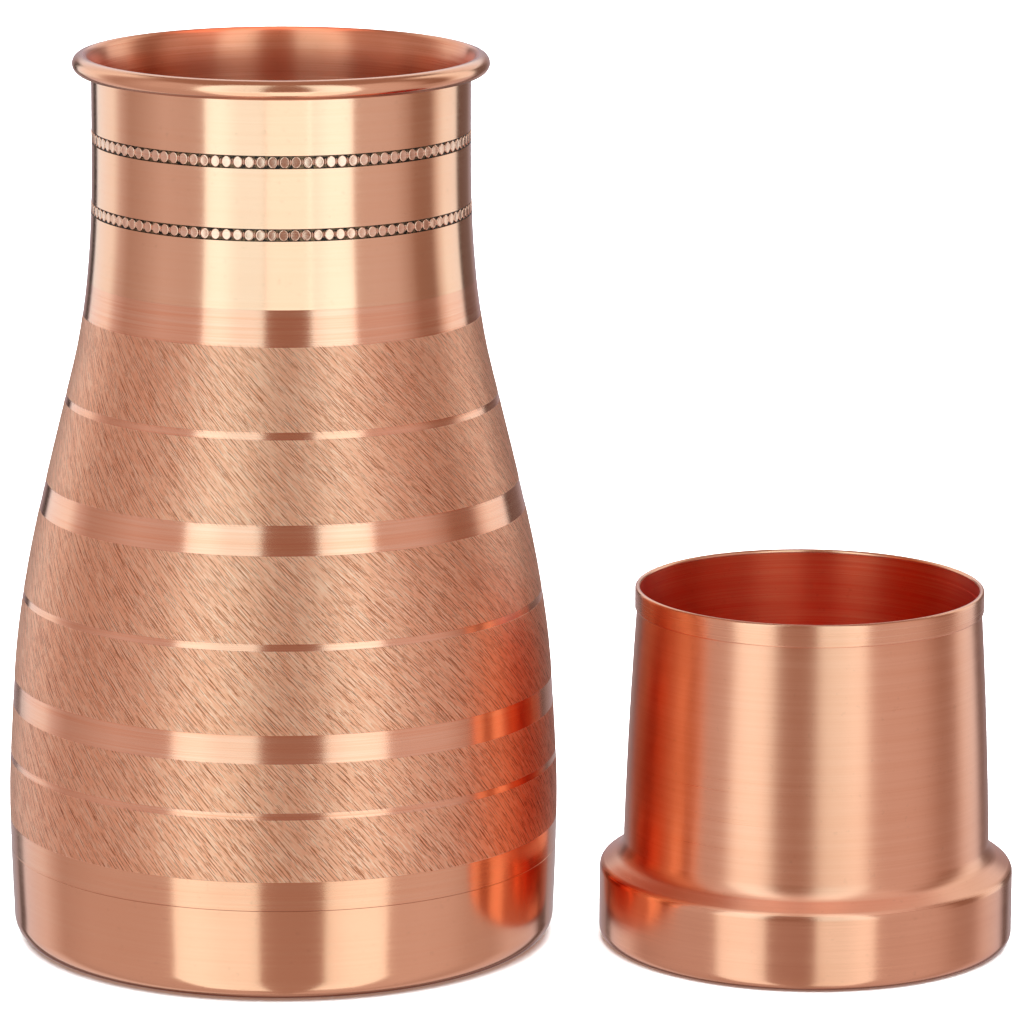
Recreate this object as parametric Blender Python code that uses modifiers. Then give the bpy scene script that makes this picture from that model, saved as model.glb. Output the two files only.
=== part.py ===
"""Copper water jug with its drinking cup, which is also the jug's stopper.

Units are metres and +Z is up. The origin is the centre of the jug's base, on
the table. The cup stands beside the jug; turned over, its narrow mouth slides
into the jug's neck and its wide foot rests on the jug's lip.
"""

import math

import bpy

MM = 0.001

# ---- driving dimensions, in millimetres ------------------------------------
STEPS = 56                     # facets round every turned piece
GAP = 0.30                     # clearance left between touching pieces

# jug
SHEET = 0.70                   # copper sheet of the jug
BELLY_R = 59.9                 # widest radius of the jug
BELLY_Z = 31.0                 # height of the widest ring
NECK_R = 40.70                 # outer radius of the straight neck
NECK_Z = 178.0                 # height where the neck is straight
# outer radius at the stations of the belly and shoulder, (height, radius)
STATIONS = ((BELLY_Z, BELLY_R), (48.0, 59.2), (66.0, 57.9), (84.0, 55.1),
            (102.0, 51.1), (118.0, 47.2), (132.0, 43.9), (146.0, 41.9),
            (160.0, 40.95), (NECK_Z, NECK_R))
LIP_R = 42.45                  # radius of the circle the lip is rolled round
LIP_Z = 191.8                  # its height
LIP_A = 2.25                   # half width of the rolled lip
LIP_B = 2.05                   # half height of the rolled lip
WIRE_R = 0.95                  # core wire in the lip
SEAM_Z = 20.2                  # seam between spun body and base pan
BASE_CORNER = 4.8              # corner radius under the base pan
BASE_FLAT_R = 54.8             # radius of the flat underside
LAP_TOP_Z = 24.2               # top of the pan's joggled collar inside the body
BAND_DEPTH = 0.25              # rolled recess of the two beaded bands
BANDS = ((177.75, 175.05), (162.35, 159.80))

# cup
CUP_X, CUP_Y = 114.2, -8.8     # where the cup stands
CUP_SHEET = 0.60
CUP_H = 78.4                   # overall height of the cup
CUP_RIM_R = 37.90              # outer radius over the rim band
CUP_MOUTH_R = 37.15            # wall's outer radius at the mouth
CUP_WAIST_R = 39.95            # wall's outer radius just above the shoulder
CUP_WAIST_Z = 20.9
CUP_FOOT_R = 45.15             # foot ring
CUP_FOOT_Z = 15.4              # top of the foot ring's straight side
CUP_CORNER = 2.4               # corner radius at the bottom of the foot ring
CUP_PLATE_R = 42.4             # base plate soldered into the foot
RIM_BAND_Z = 73.5              # lower edge of the rim band
RIM_BAND_T = 0.45


# ---- helpers ---------------------------------------------------------------
def hermite(p0, m0, p1, m1, t):
    """Cubic between two values with end slopes m0 and m1 (per unit of t)."""
    t2, t3 = t * t, t * t * t
    return ((2 * t3 - 3 * t2 + 1) * p0 + (t3 - 2 * t2 + t) * m0
            + (-2 * t3 + 3 * t2) * p1 + (t3 - t2) * m1)


def arc(cx, cz, a, b, start, end, n):
    """n+1 points of an ellipse arc, angles in degrees, 0 pointing outward."""
    pts = []
    for i in range(n + 1):
        w = math.radians(start + (end - start) * i / n)
        pts.append((cx + a * math.cos(w), cz + b * math.sin(w)))
    return pts


def jug_radius(z):
    """Outer radius of the jug's body at height z, in millimetres."""
    if z <= BELLY_Z:
        t = (BELLY_Z - z) / BELLY_Z
        return BELLY_R - 0.95 * t ** 1.8
    if z >= NECK_Z:
        return NECK_R
    k = max(i for i in range(len(STATIONS) - 1) if STATIONS[i][0] <= z)

    def slope(i):
        if i == 0 or i == len(STATIONS) - 1:
            return 0.0
        (za, ra), (zb, rb) = STATIONS[i - 1], STATIONS[i + 1]
        return (rb - ra) / (zb - za)

    (z0, r0), (z1, r1) = STATIONS[k], STATIONS[k + 1]
    span = z1 - z0
    return hermite(r0, slope(k) * span, r1, slope(k + 1) * span, (z - z0) / span)


def cup_radius(z):
    """Outer radius of the cup's wall above the shoulder."""
    t = (z - CUP_WAIST_Z) / (CUP_H - CUP_WAIST_Z)
    t = min(max(t, 0.0), 1.0)
    return CUP_WAIST_R + (CUP_MOUTH_R - CUP_WAIST_R) * (0.55 * t + 0.45 * t * t)


def material(name, colour, roughness, metallic):
    mat = bpy.data.materials.new(name)
    mat.use_nodes = True
    bsdf = mat.node_tree.nodes["Principled BSDF"]
    bsdf.inputs["Base Color"].default_value = (*colour, 1.0)
    bsdf.inputs["Roughness"].default_value = roughness
    bsdf.inputs["Metallic"].default_value = metallic
    mat.diffuse_color = (*colour, 1.0)
    return mat


def turned(name, profile, mat, collection, closed, parent=None, steps=STEPS):
    """A turned piece: the profile (r, z in millimetres) swept by a Screw."""
    verts = [(r * MM, 0.0, z * MM) for r, z in profile]
    n = len(verts)
    edges = [(i, i + 1) for i in range(n - 1)]
    if closed:
        edges.append((n - 1, 0))
    mesh = bpy.data.meshes.new(name)
    mesh.from_pydata(verts, edges, [])
    obj = bpy.data.objects.new(name, mesh)
    collection.objects.link(obj)
    screw = obj.modifiers.new("turn", "SCREW")
    screw.axis = "Z"
    screw.angle = math.tau
    screw.steps = steps
    screw.render_steps = steps
    screw.use_merge_vertices = True
    screw.merge_threshold = 0.00001
    screw.use_smooth_shade = True
    # the swept mesh is kept, so its creases can be marked by angle
    graph = bpy.context.evaluated_depsgraph_get()
    swept = bpy.data.meshes.new_from_object(obj.evaluated_get(graph))
    obj.modifiers.clear()
    obj.data = swept
    bpy.data.meshes.remove(mesh)
    swept.name = name
    swept.shade_smooth()
    swept.set_sharp_from_angle(angle=math.radians(32))
    swept.materials.clear()
    swept.materials.append(mat)
    obj.parent = parent
    return obj


# ---- scene -----------------------------------------------------------------
for old in list(bpy.data.objects):
    bpy.data.objects.remove(old)

parts = bpy.data.collections.new("copper_water_jug")
bpy.context.scene.collection.children.link(parts)

jug_axis = bpy.data.objects.new("jug_axis", None)
parts.objects.link(jug_axis)
cup_axis = bpy.data.objects.new("cup_lift_axis", None)
cup_axis.location = (CUP_X * MM, CUP_Y * MM, 0.0)
parts.objects.link(cup_axis)

copper_hatched = material("copper_hatched", (0.72, 0.36, 0.25), 0.34, 1.0)
copper_polished = material("copper_polished", (0.80, 0.42, 0.30), 0.20, 1.0)
copper_cup = material("copper_brushed", (0.78, 0.38, 0.26), 0.27, 1.0)
copper_rim = material("copper_rim", (0.82, 0.44, 0.32), 0.18, 1.0)
copper_plain = material("copper_plain", (0.66, 0.31, 0.21), 0.38, 1.0)
wire_mat = material("rim_wire", (0.58, 0.30, 0.20), 0.45, 1.0)
solder_mat = material("tin_solder", (0.62, 0.61, 0.58), 0.42, 1.0)

# ---- jug body: neck, shoulder and belly spun from one sheet, lip rolled ----
CURL_END = -112.0              # where the roll stops, under the lip


def jug_outer_points():
    """Outer side of the shell from under the lip down to the seam."""
    pts = [(LIP_R - LIP_A + SHEET, LIP_Z), (NECK_R + 0.05, LIP_Z - 3.4)]
    for top, bottom in BANDS:
        ra, rb = jug_radius(top), jug_radius(bottom)
        pts += [(ra, top), (ra - BAND_DEPTH, top - 0.25),
                (rb - BAND_DEPTH, bottom + 0.25), (rb, bottom)]
    z = 152.0
    while z > SEAM_Z + 4.0:
        pts.append((jug_radius(z), z))
        z -= 6.0 if z > 130.0 else 9.4
    pts.append((jug_radius(SEAM_Z), SEAM_Z + GAP / 2))
    return pts


def jug_inner_points():
    """Inner side of the shell from the seam up to the lip."""
    pts = [(jug_radius(SEAM_Z) - SHEET, SEAM_Z + GAP / 2)]
    z = SEAM_Z + 9.0
    while z < 152.0:
        pts.append((jug_radius(z) - SHEET, z))
        z += 13.0 if z < 100.0 else 9.0
    pts.append((NECK_R - SHEET + 0.06, 166.0))
    pts.append((NECK_R - SHEET, LIP_Z - 4.5))
    return pts


body_profile = jug_outer_points()
body_profile += jug_inner_points()
body_profile += arc(LIP_R, LIP_Z, LIP_A, LIP_B, 180.0, CURL_END, 11)
inner_roll = arc(LIP_R, LIP_Z, LIP_A - SHEET, LIP_B - SHEET, CURL_END, 180.0, 7)
body_profile += inner_roll[:-1]
turned("jug_body", body_profile, copper_hatched, parts, True, jug_axis)

# ---- core wire inside the rolled lip ---------------------------------------
wire_curve = bpy.data.curves.new("jug_lip_wire", "CURVE")
wire_curve.dimensions = "3D"
wire_curve.bevel_depth = WIRE_R * MM
wire_curve.bevel_resolution = 1
wire_curve.use_fill_caps = True
wire_spline = wire_curve.splines.new("POLY")
wire_spline.points.add(STEPS - 1)
for i in range(STEPS):
    w = math.tau * i / STEPS
    wire_spline.points[i].co = (LIP_R * MM * math.cos(w),
                                LIP_R * MM * math.sin(w), LIP_Z * MM, 1.0)
wire_spline.use_cyclic_u = True
wire_spline.use_smooth = True
lip_wire = bpy.data.objects.new("jug_lip_wire", wire_curve)
parts.objects.link(lip_wire)
lip_wire.data.materials.append(wire_mat)
lip_wire.parent = jug_axis

# ---- base pan: flat bottom, rounded corner, collar lapped inside the body --
pan_r = jug_radius(SEAM_Z)
collar_r = pan_r - SHEET - GAP
pan_top = SEAM_Z - GAP / 2
pan_profile = [(0.0, SHEET), (BASE_FLAT_R - 14.0, SHEET)]
pan_profile += arc(BASE_FLAT_R, BASE_CORNER, BASE_CORNER - SHEET,
                   BASE_CORNER - SHEET, -90.0, 0.0, 4)
pan_profile += [(pan_r - SHEET, 12.0), (pan_r - SHEET, pan_top - 1.1),
                (collar_r - SHEET, pan_top + 0.2), (collar_r - SHEET, LAP_TOP_Z),
                (collar_r, LAP_TOP_Z), (collar_r, pan_top), (pan_r, pan_top),
                (jug_radius(10.0), 10.0)]
pan_profile += arc(BASE_FLAT_R, BASE_CORNER, jug_radius(6.0) - BASE_FLAT_R,
                   BASE_CORNER, 0.0, -90.0, 6)
pan_profile += [(0.0, 0.0)]
turned("jug_base_pan", pan_profile, copper_polished, parts, False, jug_axis)

# ---- solder fillet where the collar meets the inside of the body -----------
fillet_r = jug_radius(25.0) - SHEET - GAP
turned("jug_seam_solder",
       [(fillet_r, LAP_TOP_Z + GAP + 1.5), (fillet_r, LAP_TOP_Z + GAP),
        (fillet_r - 1.0, LAP_TOP_Z + GAP), (fillet_r - 0.75, LAP_TOP_Z + GAP + 0.6)],
       solder_mat, parts, True, jug_axis)

# ---- cup wall: mouth, shoulder and foot ring spun from one sheet -----------
band_r = CUP_RIM_R - RIM_BAND_T
wall_top_r = band_r - GAP                 # wall is drawn in under the rim band
wall_top_z = CUP_H - 0.55 - GAP
cup_outer = [(wall_top_r, wall_top_z), (wall_top_r, RIM_BAND_Z + 0.4),
             (cup_radius(RIM_BAND_Z) + 0.0, RIM_BAND_Z - 0.7)]
for z in (62.0, 48.0, 34.0):
    cup_outer.append((cup_radius(z), z))
cup_outer += arc(CUP_WAIST_R + 1.6, CUP_WAIST_Z, 1.6, 1.6, 180.0, 235.0, 2)
cup_outer += arc(CUP_FOOT_R - 2.3, CUP_FOOT_Z, 2.3, 2.3, 55.0, 0.0, 3)
cup_outer += arc(CUP_FOOT_R - CUP_CORNER, CUP_CORNER, CUP_CORNER, CUP_CORNER,
                 0.0, -90.0, 4)
lip_in = CUP_PLATE_R + GAP
if cup_outer[-1][0] > lip_in:
    cup_outer.append((lip_in, 0.0))
cup_inner = [(lip_in, CUP_SHEET)]
cup_inner += arc(CUP_FOOT_R - CUP_CORNER, CUP_CORNER, CUP_CORNER - CUP_SHEET,
                 CUP_CORNER - CUP_SHEET, -80.0, 0.0, 2)
cup_inner += arc(CUP_FOOT_R - 2.3, CUP_FOOT_Z, 2.3 - CUP_SHEET, 2.3 - CUP_SHEET,
                 0.0, 55.0, 2)
cup_inner += arc(CUP_WAIST_R + 1.6, CUP_WAIST_Z, 1.6 + CUP_SHEET, 1.6 + CUP_SHEET,
                 235.0, 180.0, 2)
for z in (36.0, 54.0):
    cup_inner.append((cup_radius(z) - CUP_SHEET, z))
cup_inner += [(wall_top_r - CUP_SHEET, RIM_BAND_Z), (wall_top_r - CUP_SHEET, wall_top_z)]
turned("cup_body", cup_outer + cup_inner, copper_cup, parts, True, cup_axis)

# ---- rim band: hem over the cup's mouth, with a rounded top edge -----------
hem_in = wall_top_r - CUP_SHEET
hem_top = CUP_H
rim_profile = arc((CUP_RIM_R + hem_in) / 2, hem_top - 0.5,
                  (CUP_RIM_R - hem_in) / 2, 0.5, 90.0, 0.0, 3)
rim_profile += [(CUP_RIM_R, RIM_BAND_Z + 0.15), (CUP_RIM_R - 0.15, RIM_BAND_Z),
                (band_r, RIM_BAND_Z), (band_r, wall_top_z + GAP),
                (hem_in, wall_top_z + GAP)]
rim_profile += arc((CUP_RIM_R + hem_in) / 2, hem_top - 0.5,
                   (CUP_RIM_R - hem_in) / 2, 0.5, 180.0, 90.0, 3)[1:-1]
turned("cup_rim_band", rim_profile, copper_rim, parts, True, cup_axis)

# ---- base plate closing the wide end, flush with the foot ring -------------
turned("cup_base_plate",
       [(0.0, CUP_SHEET), (CUP_PLATE_R * 0.5, CUP_SHEET), (CUP_PLATE_R, CUP_SHEET),
        (CUP_PLATE_R, 0.0), (CUP_PLATE_R * 0.5, 0.0), (0.0, 0.0)],
       copper_plain, parts, False, cup_axis)

# ---- solder fillet inside the foot, over the joint of plate and ring -------
solder_z = CUP_SHEET + GAP
turned("cup_seam_solder",
       [(CUP_PLATE_R + 0.5, solder_z + 0.7), (CUP_PLATE_R + 0.5, solder_z),
        (CUP_PLATE_R - 1.1, solder_z), (CUP_PLATE_R - 0.4, solder_z + 0.45)],
       solder_mat, parts, True, cup_axis)
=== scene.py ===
import math
import bpy
import numpy as np
from mathutils import Matrix, Vector


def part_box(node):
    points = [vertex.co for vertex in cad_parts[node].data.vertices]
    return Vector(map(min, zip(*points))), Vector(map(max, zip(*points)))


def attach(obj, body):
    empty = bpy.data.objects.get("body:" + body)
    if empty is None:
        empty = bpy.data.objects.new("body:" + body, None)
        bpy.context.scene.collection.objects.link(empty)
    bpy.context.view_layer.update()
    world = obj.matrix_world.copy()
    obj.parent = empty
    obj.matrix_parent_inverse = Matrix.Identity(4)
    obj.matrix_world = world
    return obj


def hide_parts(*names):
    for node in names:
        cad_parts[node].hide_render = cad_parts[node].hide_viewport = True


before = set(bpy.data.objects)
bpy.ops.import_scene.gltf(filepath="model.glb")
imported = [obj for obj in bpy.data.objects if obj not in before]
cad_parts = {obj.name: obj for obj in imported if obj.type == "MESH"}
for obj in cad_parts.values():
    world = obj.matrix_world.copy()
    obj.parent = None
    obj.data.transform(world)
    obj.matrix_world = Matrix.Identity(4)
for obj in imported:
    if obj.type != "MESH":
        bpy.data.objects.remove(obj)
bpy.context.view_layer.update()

MM = 0.001
scene = bpy.context.scene
scene.view_settings.view_transform = "Standard"

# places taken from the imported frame
jb0, jb1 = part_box("jug_body")
JX, JY = (jb0.x + jb1.x) / 2, (jb0.y + jb1.y) / 2
cb0, cb1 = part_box("cup_body")
CX, CY = (cb0.x + cb1.x) / 2, (cb0.y + cb1.y) / 2

# ----------------------------------------------------------------------------
# dimensions in millimetres, the same stations as the solid model
# ----------------------------------------------------------------------------
SHEET = 0.70
BELLY_Z, BELLY_R = 31.0, 59.9
NECK_Z, NECK_R = 178.0, 40.70
STATIONS = ((BELLY_Z, BELLY_R), (48.0, 59.2), (66.0, 57.9), (84.0, 55.1),
            (102.0, 51.1), (118.0, 47.2), (132.0, 43.9), (146.0, 41.9),
            (160.0, 40.95), (NECK_Z, NECK_R))
LIP_R, LIP_Z, LIP_A, LIP_B = 42.45, 191.8, 2.25, 2.05
SEAM_Z = 20.2
BASE_CORNER, BASE_FLAT_R = 4.8, 54.8
BANDS = ((177.75, 175.05, 104), (162.35, 159.80, 106))
BAND_DEPTH = 0.26
# turned rings left plain between the hatched zones, (top, bottom)
PLAIN_RINGS = ((120.3, 118.7), (101.4, 95.1), (77.1, 75.6), (58.0, 51.9), (41.45, 39.95))
HATCH_TOP, HATCH_END, SATIN_TOP = 137.6, 26.5, 145.4

CUP_SHEET = 0.60
CUP_H, CUP_RIM_R = 78.4, 37.90
CUP_MOUTH_R, CUP_WAIST_R, CUP_WAIST_Z = 37.15, 39.95, 20.9
CUP_FOOT_R, CUP_FOOT_Z, CUP_CORNER, CUP_PLATE_R = 45.15, 15.4, 2.4, 42.4
HEM_Z = 73.5


def hermite(p0, m0, p1, m1, t):
    t2, t3 = t * t, t * t * t
    return ((2 * t3 - 3 * t2 + 1) * p0 + (t3 - 2 * t2 + t) * m0
            + (-2 * t3 + 3 * t2) * p1 + (t3 - t2) * m1)


def jug_radius(z):
    if z <= BELLY_Z:
        t = (BELLY_Z - z) / BELLY_Z
        return BELLY_R - 0.95 * t ** 1.8
    if z >= NECK_Z:
        return NECK_R
    k = max(i for i in range(len(STATIONS) - 1) if STATIONS[i][0] <= z)

    def slope(i):
        if i == 0 or i == len(STATIONS) - 1:
            return 0.0
        (za, ra), (zb, rb) = STATIONS[i - 1], STATIONS[i + 1]
        return (rb - ra) / (zb - za)

    (z0, r0), (z1, r1) = STATIONS[k], STATIONS[k + 1]
    span = z1 - z0
    return hermite(r0, slope(k) * span, r1, slope(k + 1) * span, (z - z0) / span)


def cup_radius(z):
    t = min(max((z - CUP_WAIST_Z) / (CUP_H - CUP_WAIST_Z), 0.0), 1.0)
    return CUP_WAIST_R + (CUP_MOUTH_R - CUP_WAIST_R) * (0.55 * t + 0.45 * t * t)


def arc(cx, cz, a, b, start, end, n):
    return [(cx + a * math.cos(math.radians(start + (end - start) * i / n)),
             cz + b * math.sin(math.radians(start + (end - start) * i / n)))
            for i in range(n + 1)]


# ----------------------------------------------------------------------------
# mesh code
# ----------------------------------------------------------------------------
def new_object(name, verts, faces, place, mats, face_mat=None, sharp=30.0):
    me = bpy.data.meshes.new(name)
    me.from_pydata([tuple(v) for v in verts], [], faces)
    me.update()
    ob = bpy.data.objects.new(name, me)
    scene.collection.objects.link(ob)
    ob.location = place
    for m in mats:
        me.materials.append(m)
    if face_mat is not None:
        me.polygons.foreach_set("material_index", np.asarray(face_mat, dtype=np.int32))
    me.shade_smooth()
    me.set_sharp_from_angle(angle=math.radians(sharp))
    return ob


def lathe(name, pts, place, mats, closed, steps=288, sharp=30.0):
    """pts: (r, z, material of the strip that starts here), outer side going down."""
    verts, rings = [], []
    for r, z, _m in pts:
        if r < 1e-6:
            rings.append([len(verts)])
            verts.append((0.0, 0.0, z * MM))
        else:
            base = len(verts)
            for j in range(steps):
                w = math.tau * j / steps
                verts.append((r * MM * math.cos(w), r * MM * math.sin(w), z * MM))
            rings.append(list(range(base, base + steps)))
    faces, fm = [], []
    last = len(pts) if closed else len(pts) - 1
    for i in range(last):
        a, b = rings[i], rings[(i + 1) % len(pts)]
        m = pts[i][2]
        for j in range(steps):
            k = (j + 1) % steps
            if len(a) == 1:
                faces.append((a[0], b[j], b[k]))
            elif len(b) == 1:
                faces.append((a[j], b[0], a[k]))
            else:
                faces.append((a[j], b[j], b[k], a[k]))
            fm.append(m)
    return new_object(name, verts, faces, place, mats, fm, sharp)


def bead_row(name, top, bottom, count, place, mats, phase):
    """A row of flat oval studs with raised rims, and a thin sliver between each two."""
    zc = (top + bottom) / 2
    half_h = (top - bottom) / 2 - 0.09
    radius = (jug_radius(top) + jug_radius(bottom)) / 2
    slope = (jug_radius(top) - jug_radius(bottom)) / (top - bottom)
    pitch = math.tau * radius / count
    half_w = pitch / 2 * 0.86
    floor = -BAND_DEPTH - 0.04
    stud = ((0.0, -0.025), (0.40, -0.020), (0.66, -0.004), (0.80, 0.012), (0.90, -0.012), (0.97, -0.085), (1.0, floor))
    sliver = ((0.0, -0.055), (0.55, -0.075), (0.85, -0.13), (1.0, floor))
    verts, faces = [], []
    rng = np.random.default_rng(11)

    def dome(mid, rings, hw, hh, seg, tilt, pinch):
        base = len(verts)
        for s, h in rings:
            for j in range(1 if s == 0.0 else seg):
                w = math.tau * j / seg
                u = hw * s * math.cos(w)
                v = hh * s * math.sin(w)
                if pinch:
                    u *= 0.45 + 0.55 * (v / hh) ** 2
                r = radius + slope * v + h + (tilt[0] * u + tilt[1] * v if h > floor else 0.0)
                ang = mid + u / radius
                verts.append((r * MM * math.cos(ang), r * MM * math.sin(ang), (zc + v) * MM))
        first = base + 1
        for j in range(seg):
            faces.append((base, first + j, first + (j + 1) % seg))
        for q in range(len(rings) - 2):
            a = first + q * seg
            b = a + seg
            for j in range(seg):
                k = (j + 1) % seg
                faces.append((a + j, b + j, b + k, a + k))
        low = first + (len(rings) - 2) * seg
        faces.append(tuple(low + j for j in reversed(range(seg))))

    for i in range(count):
        mid = math.tau * (i + phase) / count
        size = 1.0 + rng.normal(0.0, 0.018)
        dome(mid + rng.normal(0.0, 0.0006), stud, half_w * size, half_h, 22, rng.normal(0.0, 0.016, 2), False)
        dome(mid + math.pi / count, sliver, pitch * 0.085, half_h * 0.62, 10, rng.normal(0.0, 0.02, 2), True)
    return new_object(name, verts, faces, place, mats, None, 50.0)


# ----------------------------------------------------------------------------
# node helpers
# ----------------------------------------------------------------------------
class Tree:
    def __init__(self, name):
        self.mat = bpy.data.materials.new(name)
        self.mat.use_nodes = True
        self.nt = self.mat.node_tree
        self.bsdf = self.nt.nodes["Principled BSDF"]
        self.tc = self.nt.nodes.new("ShaderNodeTexCoord")
        self.obj = self.tc.outputs["Object"]
        sep = self.nt.nodes.new("ShaderNodeSeparateXYZ")
        self.nt.links.new(self.obj, sep.inputs[0])
        self.x, self.y, self.z = sep.outputs

    def put(self, socket, value):
        if isinstance(value, (int, float)):
            socket.default_value = value
        elif isinstance(value, (tuple, list)):
            socket.default_value = (*value, 1.0) if len(value) == 3 and len(socket.default_value) == 4 else value
        else:
            self.nt.links.new(value, socket)

    def math(self, op, a, b=None, c=None, clamp=False):
        n = self.nt.nodes.new("ShaderNodeMath")
        n.operation = op
        n.use_clamp = clamp
        for i, v in enumerate((a, b, c)):
            if v is not None:
                self.put(n.inputs[i], v)
        return n.outputs[0]

    def xyz(self, x, y, z):
        n = self.nt.nodes.new("ShaderNodeCombineXYZ")
        self.put(n.inputs[0], x)
        self.put(n.inputs[1], y)
        self.put(n.inputs[2], z)
        return n.outputs[0]

    def scaled(self, sx, sy, sz):
        n = self.nt.nodes.new("ShaderNodeVectorMath")
        n.operation = "MULTIPLY"
        self.nt.links.new(self.obj, n.inputs[0])
        n.inputs[1].default_value = (sx, sy, sz)
        return n.outputs[0]

    def noise(self, vec, scale=1.0, detail=2.0, rough=0.5, distort=0.0):
        n = self.nt.nodes.new("ShaderNodeTexNoise")
        n.noise_dimensions = "3D"
        self.put(n.inputs["Vector"], vec)
        n.inputs["Scale"].default_value = scale
        n.inputs["Detail"].default_value = detail
        n.inputs["Roughness"].default_value = rough
        n.inputs["Distortion"].default_value = distort
        return n.outputs["Fac"]

    def white(self, a, b, c):
        cmb = self.nt.nodes.new("ShaderNodeCombineXYZ")
        for k, v in enumerate((a, b, c)):
            self.put(cmb.inputs[k], v)
        w = self.nt.nodes.new("ShaderNodeTexWhiteNoise")
        w.noise_dimensions = "3D"
        self.nt.links.new(cmb.outputs[0], w.inputs["Vector"])
        return w.outputs["Value"], w.outputs["Color"]

    def split(self, v):
        sp = self.nt.nodes.new("ShaderNodeSeparateXYZ")
        self.nt.links.new(v, sp.inputs[0])
        return sp.outputs[0], sp.outputs[1], sp.outputs[2]

    def span(self, v, a, b, c=0.0, d=1.0, smooth=False):
        n = self.nt.nodes.new("ShaderNodeMapRange")
        n.clamp = True
        n.interpolation_type = "SMOOTHSTEP" if smooth else "LINEAR"
        self.put(n.inputs[0], v)
        for i, q in enumerate((a, b, c, d)):
            self.put(n.inputs[i + 1], q)
        return n.outputs[0]

    def ramp(self, v, stops, mode="LINEAR"):
        n = self.nt.nodes.new("ShaderNodeValToRGB")
        cr = n.color_ramp
        cr.interpolation = mode
        while len(cr.elements) > 1:
            cr.elements.remove(cr.elements[-1])
        for i, (p, c) in enumerate(stops):
            e = cr.elements[0] if i == 0 else cr.elements.new(p)
            e.position = p
            e.color = (c, c, c, 1.0) if isinstance(c, (int, float)) else (*c, 1.0)
        self.nt.links.new(v, n.inputs[0])
        return n.outputs[0]

    def mix(self, fac, a, b, kind="MIX"):
        n = self.nt.nodes.new("ShaderNodeMix")
        n.data_type = "RGBA"
        n.blend_type = kind
        self.put(n.inputs[0], fac)
        self.put(n.inputs[6], a)
        self.put(n.inputs[7], b)
        return n.outputs[2]

    def bump(self, height, distance, strength=1.0, normal=None):
        n = self.nt.nodes.new("ShaderNodeBump")
        n.inputs["Distance"].default_value = distance
        n.inputs["Strength"].default_value = strength
        self.nt.links.new(height, n.inputs["Height"])
        if normal is not None:
            self.nt.links.new(normal, n.inputs["Normal"])
        return n.outputs[0]

    def tangent(self):
        n = self.nt.nodes.new("ShaderNodeTangent")
        n.direction_type = "RADIAL"
        n.axis = "Z"
        return n.outputs[0]

    def helix(self, twist, across, along, radius=0.05):
        """Coordinates that run fine across and long along slanted lines round the axis."""
        flat = self.xyz(self.x, self.y, 0.0)
        nrm = self.nt.nodes.new("ShaderNodeVectorMath")
        nrm.operation = "NORMALIZE"
        self.nt.links.new(flat, nrm.inputs[0])
        rot = self.nt.nodes.new("ShaderNodeVectorRotate")
        rot.rotation_type = "Z_AXIS"
        self.nt.links.new(nrm.outputs[0], rot.inputs["Vector"])
        self.put(rot.inputs["Angle"], self.math("MULTIPLY", self.z, twist))
        sep = self.nt.nodes.new("ShaderNodeSeparateXYZ")
        self.nt.links.new(rot.outputs[0], sep.inputs[0])
        k = radius * across
        return self.xyz(self.math("MULTIPLY", sep.outputs[0], k),
                        self.math("MULTIPLY", sep.outputs[1], k),
                        self.math("MULTIPLY", self.z, along))


COPPER = (0.93, 0.405, 0.245)
PALE = (0.95, 0.47, 0.30)


DEEP = (1.0, 0.80, 0.68)


def finish(t, rough, normal, aniso, metallic=1.0):
    base = t.bsdf.inputs["Base Color"]
    col = base.links[0].from_socket
    t.nt.links.remove(base.links[0])
    t.put(base, t.mix(1.0, col, DEEP, "MULTIPLY"))
    t.put(t.bsdf.inputs["Roughness"], rough)
    t.put(t.bsdf.inputs["Normal"], normal)
    t.bsdf.inputs["Metallic"].default_value = metallic
    if aniso:
        t.bsdf.inputs["Anisotropic"].default_value = aniso
        t.bsdf.inputs["Anisotropic Rotation"].default_value = 0.25
        t.put(t.bsdf.inputs["Tangent"], t.tangent())
    return t.mat


def brushing(t, fine, coarse=0.28):
    """Circular brush lines: long round the axis, fine up and down."""
    b1 = t.noise(t.scaled(26.0, 26.0, fine), 1.0, 3.0, 0.6)
    b2 = t.noise(t.scaled(9.0, 9.0, fine * coarse), 1.0, 2.0, 0.5)
    return t.math("ADD", t.math("MULTIPLY", b1, 0.6), t.math("MULTIPLY", b2, 0.4))


def brushed_material(name, base, pale, rough=(0.12, 0.2), fine=5200.0, relief=0.00002, aniso=0.6,
                     patina_col=(0.80, 0.33, 0.19), patina_amount=0.2, tone=(0.34, 0.66)):
    t = Tree(name)
    brush = brushing(t, fine)
    patina = t.noise(t.scaled(22.0, 22.0, 30.0), 1.0, 3.0, 0.55, 0.4)
    spots = t.noise(t.scaled(900.0, 900.0, 900.0), 1.0, 2.0, 0.5)
    col = t.mix(t.span(brush, *tone), base, pale)
    col = t.mix(t.span(patina, 0.38, 0.72, 0.0, patina_amount), col, patina_col)
    col = t.mix(t.span(spots, 0.64, 0.78, 0.0, 0.22), col, tuple(c * 0.7 for c in base))
    t.put(t.bsdf.inputs["Base Color"], col)
    r = t.math("ADD", t.span(brush, 0.3, 0.7, rough[0], rough[1]), t.span(patina, 0.3, 0.7, -0.012, 0.025))
    return finish(t, r, t.bump(brush, relief, 0.8), aniso)


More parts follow.
